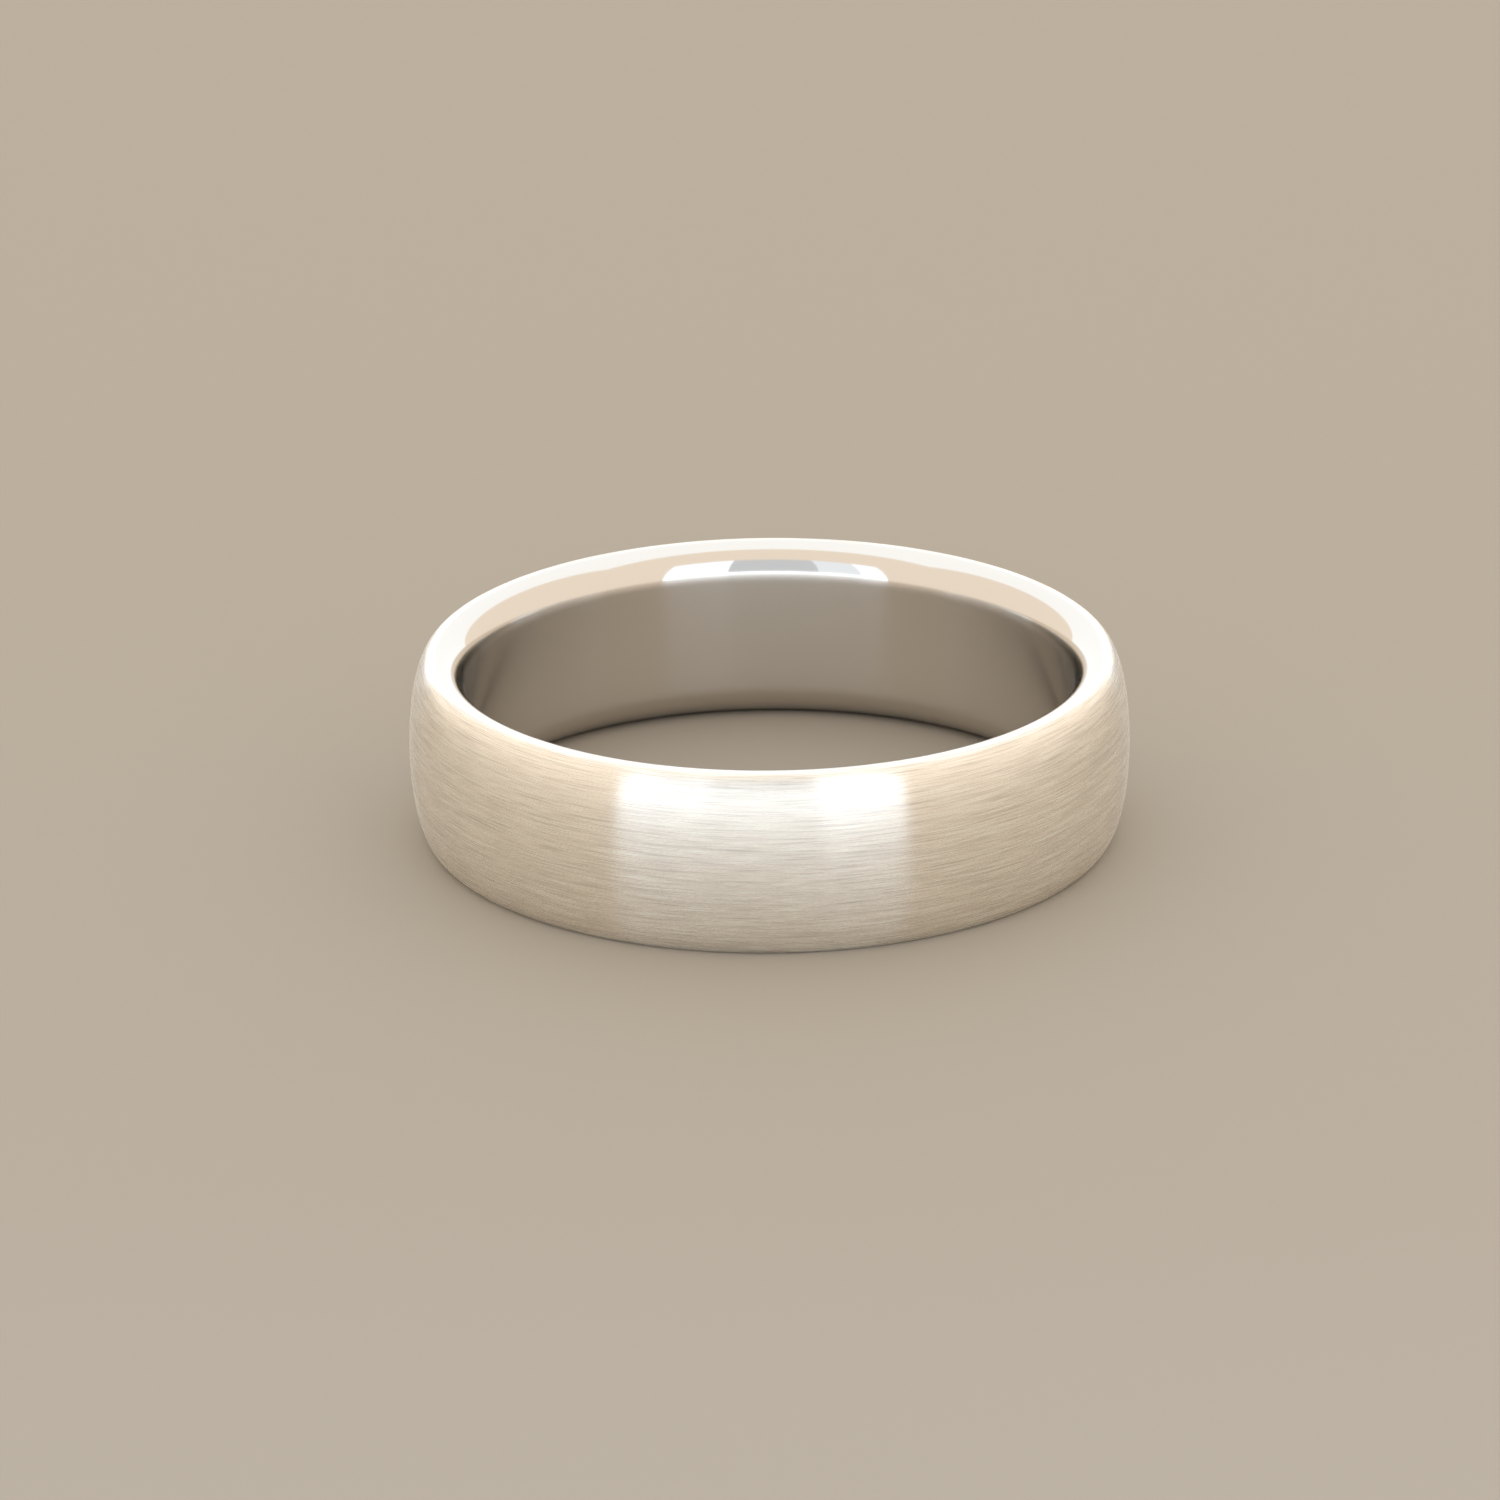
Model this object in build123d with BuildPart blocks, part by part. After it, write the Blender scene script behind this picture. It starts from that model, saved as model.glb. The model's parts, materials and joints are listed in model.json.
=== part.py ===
from build123d import *
import os

os.makedirs("parts", exist_ok=True)

# Plain domed wedding band, lying flat: the finger axis is Z and the ring rests on Z = 0.
# Lengths are in millimetres. Radii are measured from the finger axis.

# Overall size: ring size 9 3/4 (US), 6 mm wide, 1.8 mm thick at the crown.
bore_diameter = 19.6
band_width = 6.0
crown_thickness = 1.8

# Thickness at each edge of the ring, where the dome outside ends.
edge_thickness = 1.05

# Comfort lip: a quarter ellipse that opens each end of the bore out to a narrow flat land.
lip_axial = 1.2
lip_radial = 1.0

# Derived radii and heights.
bore_radius = bore_diameter / 2
crown_radius = bore_radius + crown_thickness
land_inner_radius = bore_radius + lip_radial
land_outer_radius = bore_radius + edge_thickness
dome_rise = crown_radius - land_outer_radius
mid_height = band_width / 2
wall_bottom = lip_axial
wall_top = band_width - lip_axial

# One turned blank: the half section is revolved once round the finger axis.
with BuildPart() as band:
    with BuildSketch(Plane.XZ):
        with BuildLine():
            # Outside: a low dome, level with the lands where it meets them.
            EllipticalCenterArc((land_outer_radius, mid_height), dome_rise, mid_height, -90, arc_size=180)
            # Upper land, then the upper lip easing down into the finger bore.
            Line((land_outer_radius, band_width), (land_inner_radius, band_width))
            EllipticalCenterArc((land_inner_radius, wall_top), lip_radial, lip_axial, 90, arc_size=90)
            # Straight wall of the finger bore.
            Line((bore_radius, wall_top), (bore_radius, wall_bottom))
            # Lower lip and lower land, the edge the ring rests on.
            EllipticalCenterArc((land_inner_radius, wall_bottom), lip_radial, lip_axial, 180, arc_size=90)
            Line((land_inner_radius, 0), (land_outer_radius, 0))
        make_face()
    revolve(axis=Axis.Z)

band.part.label = "band"
export_step(band.part, "parts/band.step")
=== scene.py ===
import json
import math

import bpy
import numpy as np
from mathutils import Matrix, Vector


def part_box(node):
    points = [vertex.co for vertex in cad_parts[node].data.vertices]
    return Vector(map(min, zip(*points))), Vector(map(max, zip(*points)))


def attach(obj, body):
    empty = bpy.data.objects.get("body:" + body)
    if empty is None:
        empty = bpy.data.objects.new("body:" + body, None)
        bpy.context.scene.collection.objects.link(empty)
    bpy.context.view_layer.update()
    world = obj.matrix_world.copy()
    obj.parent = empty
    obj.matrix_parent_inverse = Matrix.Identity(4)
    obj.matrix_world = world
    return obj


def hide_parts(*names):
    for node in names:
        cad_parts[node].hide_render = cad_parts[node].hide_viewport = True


MM = 0.001

# ---------------------------------------------------------------- the ring's section
# The overall size, the bore and the straight wall come from the frame. These two don't.
EDGE_THICKNESS = 1.05 * MM
LIP_RADIAL = 1.0 * MM

SEGMENTS = 448
LIP_POINTS = 19
DOME_POINTS = 73
WALL_POINTS = 7
UV_LAYER = "section"

# ---------------------------------------------------------------- the metal
# The satin starts on the crest of the edge, this far inside the radius where the dome ends.
SATIN_FROM = 0.17 * MM
SATIN_FULL = 0.11 * MM
# The bore's own finish ends between these two distances outside its radius.
BORE_FULL = 0.01 * MM
BORE_END = 0.06 * MM
POLISH_ROUGHNESS = 0.075
BORE_EXTRA_ROUGHNESS = 0.13
SATIN_ROUGHNESS = 0.27
SCRATCH_ROUGHNESS = 0.12
SCRATCH_TONE = 1.2
SCRATCH_DEPTH = 0.0008 * MM
# Scratches: frequency round the ring and across it, per mm, a shift of the noise, and a share.
FINE_SCRATCHES = (0.60, 30.0, 3.1, 0.7)
COARSE_SCRATCHES = (0.25, 18.0, 17.4, 0.3)

# ---------------------------------------------------------------- colours and radiances, linear
POLISH = (0.72, 0.69, 0.645)
SATIN = (0.93, 0.88, 0.80)
FLOOR = (0.39, 0.345, 0.285)
WORLD = (1.0, 0.88, 0.75)
WORLD_STRENGTH = 1.12
COVE = (1.33, 1.35, 1.37)

# ---------------------------------------------------------------- the studio
FLOOR_SIZE = 6.0
# The cove: a curved white panel round the X axis, from the horizon behind the ring to overhead.
COVE_RADIUS = 1.0
COVE_HALF_WIDTH = 0.7
COVE_END = 92
COVE_STEPS = 20
# The window: upright panes on the camera's side, as left, right, bottom and top in mm.
WINDOW_DISTANCE = 100 * MM
LOW = 30
TOP = 125
WINDOW = {
    "pane_low_left": (-106, -74, 0, LOW, (2.1, 2.24, 2.42)),
    "pane_low_mid": (-74, 28, 0, LOW, (1.95, 2.08, 2.24)),
    "pane_low_right": (28, 87, 0, LOW, (2.1, 2.24, 2.42)),
    "pane_left": (-106, -74, LOW, TOP, (1.45, 1.55, 1.7)),
    "pane_mid": (-74, -36, LOW, TOP, (1.12, 1.2, 1.3)),
    "pane_top": (-36, 28, LOW, TOP, (0.78, 0.82, 0.88)),
    "pane_right": (28, 87, LOW, TOP, (1.5, 1.6, 1.75)),
}

# ---------------------------------------------------------------- the camera
CAMERA_DISTANCE = 270 * MM
CAMERA_ELEVATION = 20.84
CAMERA_ROLL = -0.009
AIM_RIGHT = -0.632 * MM
AIM_UP = -0.369 * MM
LENS = 201.07

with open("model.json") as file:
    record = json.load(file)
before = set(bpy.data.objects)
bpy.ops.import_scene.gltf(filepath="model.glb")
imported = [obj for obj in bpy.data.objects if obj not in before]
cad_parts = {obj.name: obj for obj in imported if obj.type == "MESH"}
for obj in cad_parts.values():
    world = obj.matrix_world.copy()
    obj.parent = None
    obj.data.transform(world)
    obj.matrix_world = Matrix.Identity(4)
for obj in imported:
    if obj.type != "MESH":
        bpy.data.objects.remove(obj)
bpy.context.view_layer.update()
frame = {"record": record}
low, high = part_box("band")
mounts = {m["name"]: m for m in frame["record"]["mounts"]}
bore_radius = mounts["finger_bore"]["dims"]["r_mm"] * MM
wall_half = mounts["finger_bore"]["dims"]["length_mm"] * MM / 2
crown_radius = high.x
half_width = (high.z - low.z) / 2
centre = (low + high) / 2
land_outer = bore_radius + EDGE_THICKNESS
land_inner = bore_radius + LIP_RADIAL


# ---------------------------------------------------------------- section, as (radius, height over mid-width)
def lip_arc():
    """The upper lip: a quarter ellipse from the top of the bore wall to the flat land."""
    rise = half_width - wall_half
    turns = np.linspace(0, math.pi / 2, LIP_POINTS)
    return [(land_inner - LIP_RADIAL * math.cos(t), wall_half + rise * math.sin(t)) for t in turns]


def dome():
    """The outside from the upper land to the lower one, with points closer together where it turns fast."""
    rise = crown_radius - land_outer
    points = []
    for s in np.linspace(1, -1, DOME_POINTS):
        even = s * math.pi / 2
        by_normal = math.atan2(half_width * math.sin(even), rise * math.cos(even))
        turn = (even + by_normal) / 2
        points.append((land_outer + rise * math.cos(turn), half_width * math.sin(turn)))
    return points


def section():
    """The closed section, from the bottom of the bore wall up, over the dome and back."""
    upper_lip = lip_arc()
    lower_lip = [(radius, -height) for radius, height in reversed(upper_lip)]
    wall = [(bore_radius, height) for height in np.linspace(-wall_half, wall_half, WALL_POINTS)]
    return np.array(wall + upper_lip[1:] + dome() + lower_lip[:-1])


def lathe(profile):
    """The section turned round the finger axis, with a UV layer unrolled round it and along the section."""
    rows = len(profile)
    angles = np.arange(SEGMENTS) * 2 * math.pi / SEGMENTS
    radii = profile[:, 0][None, :]
    x = centre.x + radii * np.cos(angles)[:, None]
    y = centre.y + radii * np.sin(angles)[:, None]
    z = centre.z + np.repeat(profile[:, 1][None, :], SEGMENTS, 0)
    verts = np.stack([x, y, z], -1).reshape(-1, 3)

    closed = np.vstack([profile, profile[:1]])
    along = np.concatenate([[0], np.cumsum(np.hypot(*np.diff(closed, axis=0).T))])
    faces, corners = [], []
    for i in range(SEGMENTS):
        j = (i + 1) % SEGMENTS
        u0, u1 = i / SEGMENTS, (i + 1) / SEGMENTS
        for k in range(rows):
            m = (k + 1) % rows
            faces.append((i * rows + k, i * rows + m, j * rows + m, j * rows + k))
            v0, v1 = along[k] / along[-1], along[k + 1] / along[-1]
            corners.append(((u0, v0), (u0, v1), (u1, v1), (u1, v0)))

    mesh = bpy.data.meshes.new("band_shell")
    mesh.from_pydata(verts.tolist(), [], faces)
    uv = mesh.uv_layers.new(name=UV_LAYER)
    uv.data.foreach_set("uv", np.array(corners, np.float32).ravel())
    mesh.polygons.foreach_set("use_smooth", [True] * len(faces))
    mesh.update()
    mesh.validate()
    return mesh, float(along[-1])


# ---------------------------------------------------------------- metal
def set_inputs(node, **values):
    for name, value in values.items():
        node.inputs[name.replace("_", " ")].default_value = value


def metal(section_length):
    """Satin scratches round the outside, polish on the lips and bore."""
    mat = bpy.data.materials.new("band_metal")
    mat.use_nodes = True
    nodes, links = mat.node_tree.nodes, mat.node_tree.links
    nodes.clear()
    out = nodes.new("ShaderNodeOutputMaterial")
    bsdf = nodes.new("ShaderNodeBsdfPrincipled")
    links.new(bsdf.outputs["BSDF"], out.inputs["Surface"])
    bsdf.distribution = "MULTI_GGX"
    set_inputs(bsdf, Metallic=1.0, IOR=1.5, Anisotropic=1.0, Anisotropic_Rotation=0.25)

    def fill(socket, value):
        if isinstance(value, bpy.types.NodeSocket):
            links.new(value, socket)
        else:
            socket.default_value = value

    def math_node(op, *values):
        node = nodes.new("ShaderNodeMath")
        node.operation = op
        for socket, value in zip(node.inputs, values):
            fill(socket, value)
        return node.outputs[0]

    def ramp(value, start, end, to_start=0.0, to_end=1.0):
        node = nodes.new("ShaderNodeMapRange")
        node.interpolation_type = "SMOOTHSTEP"
        links.new(value, node.inputs["Value"])
        set_inputs(node, From_Min=start, From_Max=end, To_Min=to_start, To_Max=to_end)
        return node.outputs["Result"]

    def mix_number(factor, first, second):
        node = nodes.new("ShaderNodeMix")
        node.data_type = "FLOAT"
        for i, value in ((0, factor), (2, first), (3, second)):
            fill(node.inputs[i], value)
        return node.outputs[0]

    def mix_colour(mode, factor, first, second):
        node = nodes.new("ShaderNodeMix")
        node.data_type = "RGBA"
        node.blend_type = mode
        for i, value in ((0, factor), (6, first), (7, second)):
            fill(node.inputs[i], value)
        return node.outputs[2]

    coord = nodes.new("ShaderNodeTexCoord")
    split = nodes.new("ShaderNodeSeparateXYZ")
    links.new(coord.outputs["Object"], split.inputs[0])
    x, y = split.outputs[0], split.outputs[1]
    radius = math_node("SQRT", math_node("ADD", math_node("MULTIPLY", x, x), math_node("MULTIPLY", y, y)))
    uv = nodes.new("ShaderNodeUVMap")
    uv.uv_map = UV_LAYER
    uv_split = nodes.new("ShaderNodeSeparateXYZ")
    links.new(uv.outputs["UV"], uv_split.inputs[0])
    across = math_node("MULTIPLY", uv_split.outputs[1], section_length)

    satin = ramp(radius, land_outer - SATIN_FROM, land_outer - SATIN_FULL)
    bore = ramp(radius, bore_radius + BORE_FULL, bore_radius + BORE_END, 1.0, 0.0)

    def scratches(round_per_mm, across_per_mm, shift, share):
        place = nodes.new("ShaderNodeCombineXYZ")
        links.new(math_node("MULTIPLY", x, round_per_mm / MM), place.inputs[0])
        links.new(math_node("MULTIPLY", y, round_per_mm / MM), place.inputs[1])
        links.new(math_node("ADD", math_node("MULTIPLY", across, across_per_mm / MM), shift), place.inputs[2])
        noise = nodes.new("ShaderNodeTexNoise")
        noise.noise_dimensions = "3D"
        links.new(place.outputs[0], noise.inputs["Vector"])
        set_inputs(noise, Scale=1.0, Detail=2.0, Roughness=0.6)
        return math_node("MULTIPLY", noise.outputs["Fac"], share)

    grain = math_node("ADD", scratches(*FINE_SCRATCHES), scratches(*COARSE_SCRATCHES))
    signed = math_node("SUBTRACT", grain, 0.5)

    polish_rough = math_node("ADD", POLISH_ROUGHNESS, math_node("MULTIPLY", bore, BORE_EXTRA_ROUGHNESS))
    satin_rough = math_node("ADD", SATIN_ROUGHNESS, math_node("MULTIPLY", signed, SCRATCH_ROUGHNESS))
    links.new(mix_number(satin, polish_rough, satin_rough), bsdf.inputs["Roughness"])

    # Each scratch shows as a slightly lighter or darker line.
    tone = math_node("ADD", 1.0, math_node("MULTIPLY", math_node("MULTIPLY", signed, satin), SCRATCH_TONE))
    grey = nodes.new("ShaderNodeCombineColor")
    for channel in range(3):
        links.new(tone, grey.inputs[channel])
    base = mix_colour("MIX", satin, (*POLISH, 1), (*SATIN, 1))
    links.new(mix_colour("MULTIPLY", 1.0, base, grey.outputs[0]), bsdf.inputs["Base Color"])

    bump = nodes.new("ShaderNodeBump")
    set_inputs(bump, Strength=1.0, Distance=SCRATCH_DEPTH)
    links.new(math_node("MULTIPLY", grain, satin), bump.inputs["Height"])
    links.new(bump.outputs[0], bsdf.inputs["Normal"])

    tangent = nodes.new("ShaderNodeTangent")
    tangent.direction_type = "RADIAL"
    tangent.axis = "Z"
    links.new(tangent.outputs[0], bsdf.inputs["Tangent"])
    return mat


mesh, section_length = lathe(section())
ring = bpy.data.objects.new("ring_band", mesh)
bpy.context.scene.collection.objects.link(ring)
ring.data.materials.append(metal(section_length))
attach(ring, "root")
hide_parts("band")


# ---------------------------------------------------------------- floor and light
def floor_and_world():
    bpy.ops.mesh.primitive_grid_add(x_subdivisions=2, y_subdivisions=2, size=FLOOR_SIZE, location=(0, 0, low.z))
    floor = bpy.context.object
    floor.name = "floor"
    mat = bpy.data.materials.new("floor_paint")
    mat.use_nodes = True
    set_inputs(mat.node_tree.nodes["Principled BSDF"], Base_Color=(*FLOOR, 1), Roughness=0.9)
    floor.data.materials.append(mat)
    world = bpy.data.worlds.new("studio")
    world.use_nodes = True
    background = world.node_tree.nodes["Background"]
    background.inputs[0].default_value = (*WORLD, 1)
    background.inputs[1].default_value = WORLD_STRENGTH
    bpy.context.scene.world = world


def soft_panel(name, verts, faces, radiance):
    """A glowing panel that lights the ring and shows in its reflections, but not to the camera."""
    mat = bpy.data.materials.new(name)
    mat.use_nodes = True
    nodes, links = mat.node_tree.nodes, mat.node_tree.links
    nodes.clear()
    glow = nodes.new("ShaderNodeEmission")
    glow.inputs["Color"].default_value = (*radiance, 1)
    out = nodes.new("ShaderNodeOutputMaterial")
    links.new(glow.outputs[0], out.inputs["Surface"])
    mesh = bpy.data.meshes.new(name)
    mesh.from_pydata(verts, [], faces)
    mesh.materials.append(mat)
    panel = bpy.data.objects.new(name, mesh)
    panel.visible_camera = False
    bpy.context.scene.collection.objects.link(panel)


floor_and_world()
for name, (left, right, bottom, top, radiance) in WINDOW.items():
    outline = ((left, bottom), (right, bottom), (right, top), (left, top))
    corners = [(x * MM, -WINDOW_DISTANCE, z * MM) for x, z in outline]
    soft_panel(name, corners, [(3, 2, 1, 0)], radiance)

cove = []
for turn in np.radians(np.linspace(0, COVE_END, COVE_STEPS + 1)):
    for side in (-COVE_HALF_WIDTH, COVE_HALF_WIDTH):
        cove.append((side, COVE_RADIUS * math.cos(turn), COVE_RADIUS * math.sin(turn)))
strips = [(2 * i, 2 * i + 1, 2 * i + 3, 2 * i + 2) for i in range(COVE_STEPS)]
soft_panel("cove", cove, strips, COVE)

# ---------------------------------------------------------------- camera
elevation = math.radians(CAMERA_ELEVATION)
position = centre + CAMERA_DISTANCE * Vector((0, -math.cos(elevation), math.sin(elevation)))
up = Vector((0, math.sin(elevation), math.cos(elevation)))
aim = centre + Vector((1, 0, 0)) * AIM_RIGHT + up * AIM_UP
forward = (aim - position).normalized()
level = forward.cross(Vector((0, 0, 1))).normalized()
upright = level.cross(forward)
x_axis = math.cos(CAMERA_ROLL) * level + math.sin(CAMERA_ROLL) * upright
y_axis = -math.sin(CAMERA_ROLL) * level + math.cos(CAMERA_ROLL) * upright
camera_data = bpy.data.cameras.new("camera")
camera_data.lens = LENS
camera_data.sensor_width = 36
camera_data.clip_start = 0.01
camera_data.dof.use_dof = False
camera = bpy.data.objects.new("camera", camera_data)
bpy.context.scene.collection.objects.link(camera)
camera.matrix_world = Matrix.Translation(position) @ Matrix((x_axis, y_axis, -forward)).transposed().to_4x4()
bpy.context.scene.camera = camera

bpy.context.scene.view_settings.view_transform = "Standard"
